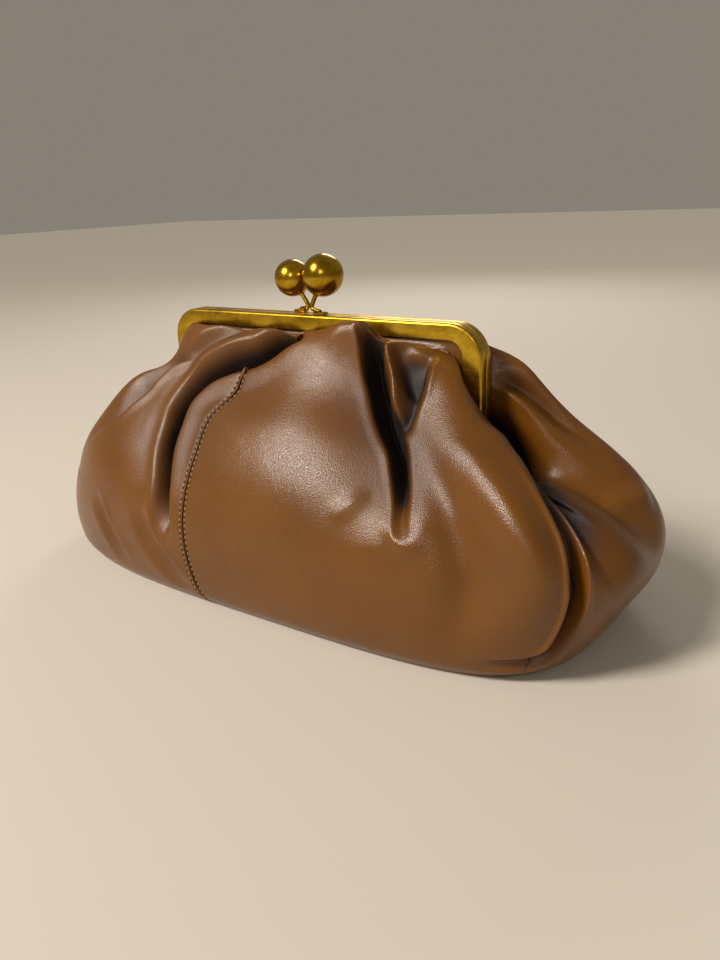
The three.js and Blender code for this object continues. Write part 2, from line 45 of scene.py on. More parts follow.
MM = 0.001
LEATHER = 1.6
FRAME_HALF = 100.0
FRAME_TOP = 150.0
FRAME_CORNER = 18.0
LEG_TO_BAR = 1.45
IN_SLOT = 4.2
SECTIONS = [  # height, left and right half length, half depth, left and right squareness, way up
    (0, 175, 155, 71, 3.3, 4.0, 0),
    (8, 181, 165, 77, 3.1, 3.7, 9),
    (28, 184, 178, 80, 3.0, 3.3, 20),
    (52, 182, 187, 78, 2.9, 3.0, 25),
    (76, 172, 173, 69, 3.1, 3.0, 29),
    (98, 151, 147, 54, 3.3, 3.1, 29),
    (118, 128, 121, 36, 3.2, 3.1, 28),
]
MOUTH_LINES = [  # inset from the frame's outline, way forward, lowest height, way up from the row before
    (7, 16, 80, 26),
    (11.5, 8.5, 83, 9),
    (10.5, IN_SLOT, 86, 5),
    (5, IN_SLOT, 89, 7),
]
END_SAG = (0.2, 0.3)  # of the left and the right end
END_SAG_FROM = (0.74, 0.84)
FOOT_BEND = 6.0
LEG_HANG = 0.1
END_TIGHTNESS = 0.6
END_TIGHT_FROM = 0.45
END_TIGHT_OVER = 0.25
SHOULDER_RISE = 0.72
# Places on the leather are given as turn and rise. turn is -1 at the left end, 0 at the front, 1 at the right
# end and 2 at the back; rise is 0 at the base edge and 1 in the frame's slot. Lengths are in millimetres.
HALF_ROUND = 2.0
FULL_TURN = 4.0
SWELLS = [  # turn, rise, spread along the turn, reach up the rise, push out, lift
    (0.92, 0.84, 0.09, 0.12, -15, -4),
    (0.83, 0.73, 0.06, 0.06, -6, -3),
    (2.86, 0.76, 0.11, 0.13, -10, 0),
    (1.3, 0.88, 0.12, 0.07, 2, 0),
    (1.2, 0.80, 0.12, 0.09, 3, 8),
    (-0.85, 0.45, 0.20, 0.25, -6, 0),
    (0.08, 0.60, 0.22, 0.28, 4, 0),
    (2.08, 0.60, 0.22, 0.28, 4, 0),
    (0.62, 0.50, 0.14, 0.26, 4, 0),
    (0.54, 0.36, 0.05, 0.20, -8, 0),
    (0.665, 0.40, 0.05, 0.17, 8, 0),
    (2.62, 0.50, 0.14, 0.26, 4, 0),
    (0.22, 0.885, 0.09, 0.05, 4, 4),
    (0.305, 0.885, 0.045, 0.05, 2.5, 4),
    (2.27, 0.88, 0.08, 0.06, 2, 1),
    (-0.73, 0.81, 0.08, 0.06, -5, 0),
    (0.62, 0.89, 0.12, 0.05, -6, -2),
    (2.62, 0.89, 0.12, 0.05, -6, -2),
    (-0.30, 0.84, 0.20, 0.08, 4, 0),
    (1.70, 0.84, 0.20, 0.08, 4, 0),
]
PLAIN_FOLD = dict(lips=(0, 0), lean=(0, 0), soft=0.25, bed=None, sides=(0, HALF_ROUND))
# Folds along paths of turns and rises. left and right are the widths of the slopes at the path's start and
# end, lips and lean raise and tip the left and right edges, fades are the shares over which it deepens and
# dies out, bed is the width and depth of a wide dip round it, and a negative depth makes a ridge.
# A fold is on the front and again half a turn round, unless sides says otherwise.
FOLDS = {
    "sweep": dict(
        turn=(0.03, -0.04, -0.125, -0.235, -0.335, -0.36, -0.32, -0.29, -0.25, -0.238, -0.235),
        rise=(0.895, 0.845, 0.805, 0.782, 0.745, 0.68, 0.60, 0.52, 0.41, 0.30, 0.20),
        left=(12, 9), right=(7, 4), depth=30, lips=(2.5, 2), lean=(0, 8), fades=(0.12, 0.25), soft=0.2,
        bed=(30, 5)),
    "pleat": dict(
        turn=(0.29, 0.345, 0.405, 0.432, 0.426, 0.415, 0.41),
        rise=(0.895, 0.82, 0.76, 0.65, 0.55, 0.45, 0.355),
        left=(5, 2.5), right=(10, 2.5), depth=20, lips=(1.5, 1), lean=(2, 0), fades=(0.12, 0.55), soft=0.3,
        bed=(26, 6)),
    "pleat_end": dict(
        turn=(0.365, 0.39, 0.417, 0.447, 0.475), rise=(0.44, 0.39, 0.362, 0.385, 0.44),
        left=(5, 5), right=(5, 5), depth=-2, fades=(0.4, 0.4), sides=(0,)),
    "pucker": dict(
        turn=(0.24, 0.28, 0.31, 0.35), rise=(0.395, 0.427, 0.457, 0.475),
        left=(6, 6), right=(6, 6), depth=-1.6, fades=(0.4, 0.4), sides=(0,)),
    "nose": dict(
        turn=(0.395, 0.42, 0.478, 0.492), rise=(0.875, 0.847, 0.783, 0.69),
        left=(6, 6), right=(5, 5), depth=-7, fades=(0.15, 0.25), soft=0.5, sides=(0,)),
    "pocket": dict(
        turn=(0.425, 0.463, 0.523, 0.57), rise=(0.875, 0.837, 0.79, 0.77),
        left=(3, 3), right=(10, 8), depth=5, fades=(0.15, 0.25), soft=0.2, sides=(0,)),
    "tuck": dict(
        turn=(0.55, 0.565, 0.55, 0.505, 0.468), rise=(0.865, 0.79, 0.75, 0.70, 0.66),
        left=(16, 6), right=(4, 4), depth=6, lips=(0, 1), fades=(0.12, 0.25), soft=0.4, sides=(0,)),
    "corner": dict(
        turn=(0.79, 0.775, 0.762, 0.755, 0.744, 0.737, 0.736, 0.736, 0.728, 0.695, 0.62, 0.54),
        rise=(0.63, 0.547, 0.473, 0.41, 0.35, 0.297, 0.227, 0.157, 0.11, 0.08, 0.067, 0.063),
        left=(3.5, 3.5), right=(3.5, 3.5), depth=8, lips=(2, 2), fades=(0.2, 0.3)),
    "end": dict(
        turn=(1.07, 1.035, 0.97, 0.895, 0.845, 0.815, 0.80, 0.805, 0.85),
        rise=(0.93, 0.83, 0.755, 0.68, 0.60, 0.50, 0.40, 0.30, 0.20),
        left=(18, 4), right=(13, 34), depth=28, fades=(0.1, 0.7), soft=0.2, sides=(0,)),
    "left_end": dict(
        turn=(-1.0, -0.99, -0.98, -0.97), rise=(0.92, 0.75, 0.55, 0.35),
        left=(20, 20), right=(20, 20), depth=9, lips=(1, 1), fades=(0.15, 0.4), soft=0.4, sides=(0,)),
    "ridge": dict(
        turn=(1.12, 1.085, 1.07, 1.07, 1.07), rise=(0.83, 0.76, 0.70, 0.617, 0.52),
        left=(12, 12), right=(6, 6), depth=-3, fades=(0.15, 0.4), sides=(0,)),
    "back_groove": dict(
        turn=(1.15, 1.12, 1.11, 1.11, 1.118, 1.112), rise=(0.845, 0.787, 0.737, 0.68, 0.60, 0.52),
        left=(5, 5), right=(9, 9), depth=6, lips=(1, 1), fades=(0.2, 0.5), sides=(0,)),
    "lobe_crease": dict(
        turn=(0.98, 1.035, 1.06, 1.088, 1.115), rise=(0.52, 0.495, 0.465, 0.43, 0.39),
        left=(8, 8), right=(8, 8), depth=-3, fades=(0.3, 0.3), sides=(0,)),
    "left_crease": dict(
        turn=(-0.44, -0.545, -0.62, -0.645, -0.622, -0.628, -0.67, -0.70),
        rise=(0.83, 0.807, 0.775, 0.725, 0.67, 0.59, 0.51, 0.43),
        left=(14, 14), right=(5, 6), depth=9, lips=(1, 2), lean=(0, 2), fades=(0.3, 0.5), soft=0.35),
    "drape": dict(
        turn=(-0.22, -0.34, -0.46, -0.52), rise=(0.90, 0.86, 0.82, 0.74),
        left=(6, 6), right=(6, 6), depth=3.5, lips=(1, 1), fades=(0.1, 0.4)),
    "wrinkle_one": dict(
        turn=(-0.53, -0.475, -0.40), rise=(0.28, 0.182, 0.06),
        left=(7, 7), right=(5, 5), depth=2.2, lips=(0.5, 0.8), fades=(0.4, 0.4)),
    "wrinkle_two": dict(
        turn=(-0.34, -0.28, -0.17), rise=(0.30, 0.17, 0.05),
        left=(8, 8), right=(5, 5), depth=2.2, lips=(0.5, 0.8), fades=(0.4, 0.4)),
}
FOLD_BOTTOM = 1.0
RIM_PLACE = 1.15
RIM_SPREAD = 0.45
BED_EASE = 0.3
FOLD_REACH = 60.0
MOUTH_EASE = 0.06
BASE_EASE = 0.1
PATH_STEPS = 40
PATH_SKIP = 5
LINE_STEPS = 200
SECTION_STEPS = 600
CORNER_STEPS = 12
LEAST_CORNER = 3
SLOPE_STEP = 0.004
LEAST_LENGTH = 1e-9
LEAST_DISTANCE = 1e-6
FAR_AWAY = 1e9


def smooth(value):
    part = np.clip(value, 0, 1)
    return part * part * (3 - 2 * part)


def even_line(x, y):
    """Even steps along a line of points."""
    far = np.concatenate([[0], np.cumsum(np.hypot(np.diff(x), np.diff(y)))])
    want = np.linspace(0, far[-1], LINE_STEPS + 1)
    return np.interp(want, far, x), np.interp(want, far, y)


def section_quarter(length, depth, power):
    """A quarter of a level section, from the front's middle to an end."""
    angle = np.linspace(0, math.pi / 2, SECTION_STEPS + 1)
    across = length * np.sin(angle) ** (2 / power)
    forward = depth * np.maximum(np.cos(angle), 0) ** (2 / power)
    return even_line(across, forward)


def mouth_quarter(inset, foot):
    """Half of a line that follows the frame, from the bar's middle to the foot of a leg."""
    side = FRAME_HALF - inset * LEG_TO_BAR
    top = FRAME_TOP - inset
    corner = max(FRAME_CORNER - inset, LEAST_CORNER)
    angle = np.linspace(0, math.pi / 2, CORNER_STEPS + 1)
    across = np.concatenate([[0], side - corner + corner * np.sin(angle), [side]])
    height = np.concatenate([[top], top - corner + corner * np.cos(angle), [foot]])
    return even_line(across, height)


left_lines = [section_quarter(row[1], row[3], row[4]) for row in SECTIONS]
right_lines = [section_quarter(row[2], row[3], row[5]) for row in SECTIONS]
mouth_lines = [mouth_quarter(row[0], row[2]) for row in MOUTH_LINES]
ways = np.cumsum([row[-1] for row in SECTIONS + MOUTH_LINES])
KNOTS = ways / ways[-1]
MOUTH_RISE = KNOTS[-2]


def rising_lines(turn):
    """The points that each line up the leather passes, from the base edge to the slot."""
    wrapped = np.mod(turn + 1, FULL_TURN) - 1
    face = np.where(wrapped < 1, -1.0, 1.0)
    along = np.where(wrapped < 1, wrapped, HALF_ROUND - wrapped)
    share = np.abs(along)
    hand = np.sign(along)
    even = np.linspace(0, 1, LINE_STEPS + 1)
    sag_from = np.where(hand < 0, END_SAG_FROM[0], END_SAG_FROM[1])
    sag = np.where(hand < 0, END_SAG[0], END_SAG[1]) * smooth((share - sag_from) / (1 - sag_from))
    points = []
    for (height, *_), left, right in zip(SECTIONS, left_lines, right_lines):
        level = height * (1 - sag * height / SECTIONS[-1][0])
        x = np.where(hand < 0, np.interp(share, even, left[0]), np.interp(share, even, right[0]))
        y = np.where(hand < 0, np.interp(share, even, left[1]), np.interp(share, even, right[1]))
        points.append(np.stack([hand * x, face * y, level], -1))
    hung = share - LEG_HANG * np.sin(math.pi * share**3)
    for (_, forward, foot, _), (x, z) in zip(MOUTH_LINES, mouth_lines):
        level = np.interp(hung, even, z)
        slack = 1 - END_TIGHTNESS * smooth((share - END_TIGHT_FROM) / END_TIGHT_OVER)
        out = face * (IN_SLOT + (forward - IN_SLOT) * slack) * smooth((level - foot) / FOOT_BEND)
        points.append(np.stack([hand * np.interp(hung, even, x), out, level], -1))
    return np.stack(points)


def smooth_body(turn, rise):
    """The full leather before it swells and folds: a smooth curve up each line's points."""
    points = rising_lines(turn)
    last = len(KNOTS) - 1
    slopes = np.stack([
        (points[min(i + 1, last)] - points[max(i - 1, 0)]) / (KNOTS[min(i + 1, last)] - KNOTS[max(i - 1, 0)])
        for i in range(last + 1)])
    low = np.clip(np.searchsorted(KNOTS, rise, side="right") - 1, 0, last - 1)
    span = (KNOTS[low + 1] - KNOTS[low])[:, None]
    f = (rise - KNOTS[low])[:, None] / span
    each = np.arange(len(turn))
    return (points[low, each] * (2 * f**3 - 3 * f**2 + 1) + slopes[low, each] * span * (f**3 - 2 * f**2 + f)
            + points[low + 1, each] * (3 * f**2 - 2 * f**3) + slopes[low + 1, each] * span * (f**3 - f**2))


def outward(turn, rise):
    """The way straight out of the smooth body. Above the shoulder it stays as it is at the shoulder."""
    level = np.minimum(rise, SHOULDER_RISE)
    across = smooth_body(turn + SLOPE_STEP, level) - smooth_body(turn - SLOPE_STEP, level)
    higher = np.minimum(level + SLOPE_STEP, 1)
    lower = np.maximum(level - SLOPE_STEP, 0)
    up = smooth_body(turn, higher) - smooth_body(turn, lower)
    normal = np.cross(across, up)
    return normal / np.maximum(np.linalg.norm(normal, axis=1, keepdims=True), LEAST_LENGTH)


def turn_between(turn, centre):
    """How far a turn is from another, the short way round."""
    return np.mod(turn - centre + HALF_ROUND, FULL_TURN) - HALF_ROUND


def swollen_body(turn, rise):
    """The smooth body with its swells and dents."""
    push = np.zeros(len(turn))
    lift = np.zeros(len(turn))
    for centre, level, spread, reach, out, up in SWELLS:
        sideways = turn_between(turn, centre) / spread
        near = np.exp(-sideways**2 - ((rise - level) / reach) ** 2)
        push += out * near
        lift += up * near
    ease = smooth(rise / BASE_EASE) * smooth((MOUTH_RISE - rise) / MOUTH_EASE)
    moved = smooth_body(turn, rise) + outward(turn, rise) * (push * ease)[:, None]
    moved[:, 2] += lift * ease
    return moved


def spline(values, count):
    """A smooth line through a few values, at even steps."""
    padded = np.array([values[0], *values, values[-1]], float)
    place = np.linspace(0, len(values) - 1, count)
    low = np.minimum(place.astype(int), len(values) - 2)
    f = place - low
    a, b, c, d = (padded[low + i] for i in range(4))
    return b + 0.5 * f * (c - a + f * (2 * a - 5 * b + 4 * c - d + f * (3 * (b - c) + d - a)))


fold_paths = []
for fold_values in FOLDS.values():
    fold = {**PLAIN_FOLD, **fold_values}
    for shift in fold["sides"]:
        turns = spline(fold["turn"], PATH_STEPS + 1) + shift
        rises = spline(fold["rise"], PATH_STEPS + 1)
        fold_paths.append((fold, turns, rises, swollen_body(turns, rises), outward(turns, rises)))


def fold_moves(fold, path, path_out, place):
    """How far a fold pushes each place out, and which way it leans it over the fold."""
    nearest = np.full(len(place), FAR_AWAY)
    share = np.zeros(len(place))
    side = np.zeros(len(place))
    away = np.zeros_like(place)
    for i in range(PATH_STEPS):
        run = path[i + 1] - path[i]
        part = np.clip(((place - path[i]) @ run) / (run @ run), 0, 1)
        off = place - path[i] - part[:, None] * run
        distance = np.linalg.norm(off, axis=1)
        closer = distance < nearest
        leftward = np.cross(run, path_out[i])
        leftward /= np.linalg.norm(leftward)
        nearest[closer] = distance[closer]
        share[closer] = ((i + part) / PATH_STEPS)[closer]
        side[closer] = (off @ leftward / np.maximum(distance, LEAST_DISTANCE))[closer]
        away[closer] = (off / np.maximum(distance, LEAST_DISTANCE)[:, None])[closer]
    side = np.clip(side, -1, 1)
    left = fold["left"][0] + (fold["left"][1] - fold["left"][0]) * share
    right = fold["right"][0] + (fold["right"][1] - fold["right"][0]) * share
    width = (left + right) / 2 + (left - right) / 2 * side
    off = (np.hypot(nearest, FOLD_BOTTOM) - FOLD_BOTTOM) / width
    fade_in, fade_out = fold["fades"]
    strength = smooth(share / fade_in) * smooth((1 - share) / fade_out)
    soft = fold["soft"]
    drop = (1 - off + np.hypot(1 - off, soft)) / (1 + math.hypot(1, soft))
    rim = np.exp(-(((off - RIM_PLACE) / RIM_SPREAD) ** 2))
    lip = rim * (sum(fold["lips"]) / 2 + (fold["lips"][0] - fold["lips"][1]) / 2 * side)
    lean = rim * (sum(fold["lean"]) / 2 + (fold["lean"][0] - fold["lean"][1]) / 2 * side)
    push = strength * (lip - fold["depth"] * drop)
    if fold["bed"]:
        bed_width, bed_depth = fold["bed"]
        bed_strength = smooth(share / BED_EASE) * smooth((1 - share) / BED_EASE)
        push -= bed_depth * bed_strength * np.exp(-(nearest / bed_width) ** 2)
    return push, -away * (strength * lean)[:, None]


def leather(turn, rise):
    """Places on the folded leather, and how far the folds push each of them out."""
    place = swollen_body(turn, rise)
    push = np.zeros(len(turn))
    lean = np.zeros_like(place)
    for fold, _, _, path, path_out in fold_paths:
        off = np.linalg.norm(place[:, None, :] - path[None, ::PATH_SKIP, :], axis=2)
        near = off.min(axis=1) < FOLD_REACH
        if near.any():
            moves, leans = fold_moves(fold, path, path_out, place[near])
            push[near] += moves
            lean[near] += leans
    ease = smooth((MOUTH_RISE - rise) / MOUTH_EASE)
    return place + outward(turn, rise) * (push * ease)[:, None] + lean * ease[:, None], push


# Seams, as the turn at seven even rises from the base edge to the slot
FRONT_SEAM = (-0.145, -0.162, -0.182, -0.20, -0.22, -0.10, 0.15)
CORNER_SEAM = (0.68, 0.736, 0.74, 0.77, 0.83, 0.92, 0.97)
SEAM_HALF_GAP = 0.0006
SEAM_DIP = 0.9
SEAM_RIDGE = 0.4
SEAM_WIDTH = 1.0
STITCH_ROW = 1.7
STITCH_DIP = 0.4
STITCH_DIP_WIDTH = 0.6
FOLD_CROWDING = 2.5
FOLD_SPREAD = 0.05
FOLD_END_EASE = 0.05
EDGE_CROWDING = 5.0
EDGE_SPREAD = 0.012
MARCH = 600
COLUMN_EASING = 40
SMOOTHING = 6
SMOOTHING_SHARE = 0.5
SEAM_STEPS = 200
PANEL_COLUMNS = 250
PANEL_ROWS = 170
STITCH_PITCH = 3.1
STITCH_END = 143.0
stitch_lines = {}


def seam_turn(seam, rise):
    """The turn at which a seam crosses each rise."""
    return np.interp(rise, np.linspace(0, 1, SEAM_STEPS), spline(seam, SEAM_STEPS))


def crowded_turns(left, right, rises):
    """Column places in each row, closer together at the folds and at the seams."""
    share = np.linspace(0, 1, MARCH)
    turn = left[:, None] + (right - left)[:, None] * share
    dense = 1 + EDGE_CROWDING * (np.exp(-((turn - left[:, None]) / EDGE_SPREAD) ** 2)
                                 + np.exp(-((turn - right[:, None]) / EDGE_SPREAD) ** 2))
    for _, turns, path_rises, *_ in fold_paths:
        order = np.argsort(path_rises)
        centre = np.interp(rises, path_rises[order], turns[order])
        below_top = smooth((path_rises.max() + FOLD_END_EASE - rises) / FOLD_END_EASE)
        above_foot = smooth((rises - path_rises.min() + FOLD_END_EASE) / FOLD_END_EASE)
        within = below_top * above_foot
        sideways = turn_between(turn, centre[:, None])
        dense += FOLD_CROWDING * within[:, None] * np.exp(-(sideways / FOLD_SPREAD) ** 2)
    filled = np.cumsum(dense, axis=1)
    filled = (filled - filled[:, :1]) / (filled[:, -1:] - filled[:, :1])
    want = np.linspace(0, 1, PANEL_COLUMNS + 1)
    places = np.stack([np.interp(want, row, share) for row in filled])
    for _ in range(COLUMN_EASING):
        places[1:-1] = (places[:-2] + 2 * places[1:-1] + places[2:]) / 4
    return left[:, None] + (right - left)[:, None] * places


def place_along(points, far, distance):
    """The place at a distance along a line of points."""
    return np.array([np.interp(distance, far, points[:, axis]) for axis in range(3)])


def new_piece(name, points, faces):
    """A smooth-shaded piece from points in millimetres."""
    mesh = bpy.data.meshes.new(name)
    mesh.from_pydata((np.array(points) * MM).tolist(), [], faces)
    mesh.polygons.foreach_set("use_smooth", np.ones(len(faces), bool))
    piece = bpy.data.objects.new(name, mesh)
    bpy.context.scene.collection.objects.link(piece)
    return piece


def thicken(piece):
    """Give a leather surface its wall, inwards."""
    bpy.ops.object.select_all(action="DESELECT")
    bpy.context.view_layer.objects.active = piece
    piece.select_set(True)
    wall = piece.modifiers.new("wall", "SOLIDIFY")
    wall.thickness = LEATHER * MM
    wall.offset = -1
    bpy.ops.object.modifier_apply(modifier="wall")


def panel(name, left_seam, left_shift, right_seam, right_shift):
    """The leather between two seams, with sunk edges and the line that its stitches follow."""
    rises = np.linspace(0, 1, PANEL_ROWS + 1)
    gap = SEAM_HALF_GAP * smooth(rises / BASE_EASE)
    left = seam_turn(left_seam, rises) + left_shift + gap
    right = seam_turn(right_seam, rises) + right_shift - gap
    turn = crowded_turns(left, right, rises).ravel()
    rise = np.repeat(rises, PANEL_COLUMNS + 1)
    place, push = leather(turn, rise)
    grid = place.reshape(PANEL_ROWS + 1, PANEL_COLUMNS + 1, 3)
    steps = np.linalg.norm(np.diff(grid, axis=1), axis=2)
    from_left = np.concatenate([np.zeros((PANEL_ROWS + 1, 1)), np.cumsum(steps, axis=1)], axis=1)
    from_right = from_left[:, -1:] - from_left
    sewn_left = left_seam is FRONT_SEAM
    across, from_corner = (from_left, from_right) if sewn_left else (from_right, from_left)
    sewn_dip = SEAM_DIP if sewn_left else -SEAM_RIDGE
    dip = sewn_dip * np.exp(-(across / SEAM_WIDTH) ** 2) + SEAM_DIP * np.exp(-(from_corner / SEAM_WIDTH) ** 2)
    dip += STITCH_DIP * np.exp(-((across - STITCH_ROW) / STITCH_DIP_WIDTH) ** 2)
    dip *= (smooth(rises / BASE_EASE) * smooth((MOUTH_RISE - rises) / MOUTH_EASE))[:, None]
    grid = grid - outward(turn, rise).reshape(grid.shape) * dip[:, :, None]
    for _ in range(SMOOTHING):
        inner = grid[1:-1, 1:-1]
        around = (grid[:-2, 1:-1] + grid[2:, 1:-1] + grid[1:-1, :-2] + grid[1:-1, 2:]) / 4
        grid[1:-1, 1:-1] = inner + SMOOTHING_SHARE * (around - inner)

    hand = 1 if sewn_left else -1
    from_seam = list(zip(grid[:, ::hand], across[:, ::hand]))
    line = np.stack([place_along(row, far, STITCH_ROW) for row, far in from_seam])
    outer = np.stack([place_along(row, far, STITCH_ROW + 1) for row, far in from_seam])
    along = np.concatenate([[0], np.cumsum(np.linalg.norm(np.diff(line, axis=0), axis=1))])
    stitch_lines[name] = (line, hand * (outer - line), along)

    stride = PANEL_COLUMNS + 1
    corner = (np.arange(PANEL_ROWS)[:, None] * stride + np.arange(PANEL_COLUMNS)[None, :]).ravel()
    quads = np.stack([corner, corner + 1, corner + stride + 1, corner + stride], 1)
    piece = new_piece(name, grid.reshape(-1, 3), quads.tolist())
    # The folds' push is kept as the crease attribute; the leather's finish reads it to paint shade into the
    # deep folds.
    crease = piece.data.attributes.new("crease", "FLOAT", "POINT")
    crease.data.foreach_set("value", push.astype(np.float32))
    seam_map = piece.data.uv_layers.new(name="seam")
    places = np.stack([np.repeat(along, stride), across.ravel()], 1)
    seam_map.data.foreach_set("uv", places[quads.ravel()].astype(np.float32).ravel())
    thicken(piece)
    return piece


panels = {
    "front_panel": panel("front_leather", FRONT_SEAM, 0, CORNER_SEAM, 0),
    "right_end_panel": panel("right_end_leather", CORNER_SEAM, 0, FRONT_SEAM, HALF_ROUND),
    "back_panel": panel("back_leather", FRONT_SEAM, HALF_ROUND, CORNER_SEAM, HALF_ROUND),
    "left_end_panel": panel("left_end_leather", CORNER_SEAM, HALF_ROUND, FRONT_SEAM, FULL_TURN),
}


class Value:
    """A shader socket: arithmetic on it adds Math nodes, and make adds any other node."""

    def __init__(self, tree, socket):
        self.tree = tree
        self.socket = socket

    def make(self, kind, settings=None, inputs=None, output=0):
        node = self.tree.nodes.new(kind)
        for name, setting in (settings or {}).items():
            if name == "stops":
                ramp = node.color_ramp
                while len(ramp.elements) < len(setting):
                    ramp.elements.new(0.5)
                for element, (position, colour) in zip(ramp.elements, setting):
                    element.position = position
                    element.color = colour
            else:
                setattr(node, name, setting)
        for name, value in (inputs or {}).items():
            if isinstance(value, Value):
                self.tree.links.new(value.socket, node.inputs[name])
            else:
                node.inputs[name].default_value = value
        return Value(self.tree, node.outputs[output])

    def math(self, operation, first, second):
        return self.make("ShaderNodeMath", {"operation": operation}, {0: first, 1: second})

    def __add__(self, other):
        return self.math("ADD", self, other)

    __radd__ = __add__

    def __sub__(self, other):
        return self.math("SUBTRACT", self, other)

    def __rsub__(self, other):
        return self.math("SUBTRACT", other, self)

    def __mul__(self, other):
        return self.math("MULTIPLY", self, other)

    __rmul__ = __mul__


def leather_finish():
    material = bpy.data.materials.new("brown_nappa")
    material.use_nodes = True
    tree = material.node_tree
    shader = tree.nodes["Principled BSDF"]
    place = Value(tree, tree.nodes.new("ShaderNodeTexCoord").outputs["Object"])
    cloud = place.make("ShaderNodeTexNoise", {}, {"Vector": place, "Scale": 24.0, "Detail": 5.0})
    pebbles = place.make("ShaderNodeTexVoronoi", {"feature": "F1"}, {"Vector": place, "Scale": 1800.0})
    pores = place.make("ShaderNodeTexNoise", {}, {"Vector": place, "Scale": 2300.0, "Detail": 3.0})
    crease = place.make("ShaderNodeAttribute", {"attribute_name": "crease"}, {}, "Fac")
    # Painted shade: the brown goes to near black down in the deep folds, where their shade falls, and is
    # lightest where the folds push the leather out; the crease attribute is that push.
    painted_fold_shade = place.make("ShaderNodeMapRange", {"interpolation_type": "SMOOTHSTEP"},
                      {"Value": crease, "From Min": -13.5, "From Max": 1.5})
    tone = 0.55 * painted_fold_shade + 0.45 * cloud + 0.06 * pores - 0.1
    # The darkest brown is the painted shade at the bottoms of the folds; the cloud and pores add a random
    # tone.
    browns = [(0.20, (0.010, 0.0025, 0.0005, 1)), (0.45, (0.100, 0.033, 0.002, 1)),
              (0.85, (0.172, 0.063, 0.005, 1))]
    colour = place.make("ShaderNodeValToRGB", {"stops": browns}, {"Fac": tone})
    seam = place.make("ShaderNodeUVMap", {"uv_map": "seam"})
    along = place.make("ShaderNodeSeparateXYZ", {}, {0: seam}, 0)
    across = place.make("ShaderNodeSeparateXYZ", {}, {0: seam}, 1)
    phase = place.math("ABSOLUTE", place.math("FRACT", along * (1 / STITCH_PITCH), 0) - 0.5, 0)
    between = place.make("ShaderNodeMapRange", {}, {"Value": phase, "From Min": 0.24, "From Max": 0.3})
    off_row = place.math("ABSOLUTE", across - STITCH_ROW, 0)
    in_row = place.make("ShaderNodeMapRange", {}, {"Value": off_row, "From Min": 0.75, "From Max": 0.5})
    sewn = place.make("ShaderNodeMapRange", {},
                      {"Value": along, "From Min": STITCH_END + 1, "From Max": STITCH_END})
    # Painted shade: near-black spots between the stitches along each row stand for the shade in the holes
    # that the thread dives into; they are also made rougher.
    painted_hole_shade = between * in_row * sewn
    # The near-black colour mixed in here is that painted hole shade.
    colour = place.make("ShaderNodeMix", {"data_type": "RGBA"},
                        {0: painted_hole_shade, 6: colour, 7: (0.016, 0.006, 0.002, 1)}, 2)
    tree.links.new(colour.socket, shader.inputs["Base Color"])
    rough = 0.60 - 0.39 * painted_fold_shade + 0.06 * cloud + 0.08 * pores + 0.5 * painted_hole_shade
    tree.links.new(rough.socket, shader.inputs["Roughness"])
    grain = 0.8 * pebbles + 0.5 * pores
    bump = place.make("ShaderNodeBump", {}, {"Strength": 0.4, "Distance": 0.0003, "Height": grain})
    tree.links.new(bump.socket, shader.inputs["Normal"])
    shader.inputs["Specular IOR Level"].default_value = 0.5
    return material


brown_leather = leather_finish()
for node, piece in panels.items():
    piece.data.materials.append(brown_leather)
    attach(piece, "root")
    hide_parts(node)

# Base
# A flat leaf of the same leather closes the bottom, sewn inside the panels' lower edge.
# It follows the outline of the lowest section and carries the bag.

BASE_INSET = 1.8
BASE_RINGS = 24
_, left_length, right_length, base_depth, left_power, right_power, _ = SECTIONS[0]
base_left = section_quarter(left_length - BASE_INSET, base_depth - BASE_INSET, left_power)
base_right = section_quarter(right_length - BASE_INSET, base_depth - BASE_INSET, right_power)
half_x = np.concatenate([-base_left[0][:0:-2], base_right[0][::2]])
half_y = np.concatenate([base_left[1][:0:-2], base_right[1][::2]])
rim = np.stack([np.concatenate([half_x, half_x[-2:0:-1]]), np.concatenate([-half_y, half_y[-2:0:-1]])], 1)
rings = [rim * (1 - i / BASE_RINGS) for i in range(BASE_RINGS)]
base_places = np.concatenate([*rings, [[0, 0]]])
base_points = np.column_stack([base_places, np.full(len(base_places), LEATHER)])
count = len(rim)
base_faces = []
for ring in range(0, (BASE_RINGS - 1) * count, count):
    for j in range(count):
        beside = (j + 1) % count
        base_faces.append((ring + j, ring + beside, ring + count + beside, ring + count + j))
last_ring = (BASE_RINGS - 1) * count
base_faces += [(last_ring + j, last_ring + (j + 1) % count, last_ring + count) for j in range(count)]
base_piece = new_piece("base_leather", base_points, base_faces)
thicken(base_piece)
base_piece.data.materials.append(brown_leather)
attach(base_piece, "root")
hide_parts("base_panel")

# Seam stitching
# Two rows of tan waxed thread, one each side of the seam between the front and the end panel.
# Each stitch is a short arch whose ends dive into the leather; the back seam is sewn the same way.

